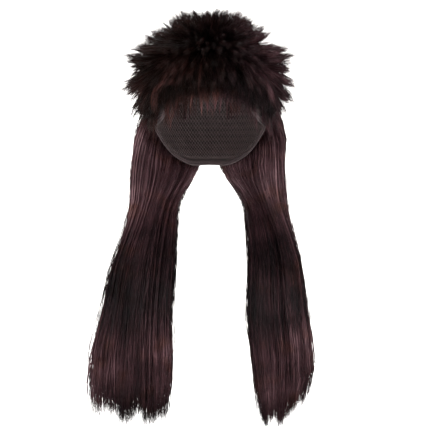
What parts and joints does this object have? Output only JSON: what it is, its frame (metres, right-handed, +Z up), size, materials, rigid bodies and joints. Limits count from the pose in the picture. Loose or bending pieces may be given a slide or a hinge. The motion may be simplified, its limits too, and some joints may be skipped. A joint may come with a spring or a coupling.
{
  "type": "mullet wig",
  "caption": "Costume wig with short spiky hair on a hollow net cap and two long straight falls that hang forward over the shoulders.",
  "frame": {"origin": "where the crown of the head bears on the inside of the cap, on the head's middle line", "axes": "+Z up, the wearer faces -Y, and +X is on the right in the front view"},
  "size_m": [0.3007, 0.2644, 0.585],
  "materials": {
    "hair_short": "satin",
    "hair_long": "satin",
    "net": "matte",
    "elastic": "matte"
  },
  "bodies": {
    "root": {"cap_net": "net", "cap_band": "elastic", "hair_track_1": "elastic", "hair_track_2": "elastic", "hair_track_3": "elastic", "hair_track_4": "elastic", "long_hair_left": "hair_long", "long_hair_right": "hair_long", "fringe": "hair_short", "sideburn_left": "hair_short", "sideburn_right": "hair_short", "crown_hair": "hair_short"}
  },
  "joints": []
}
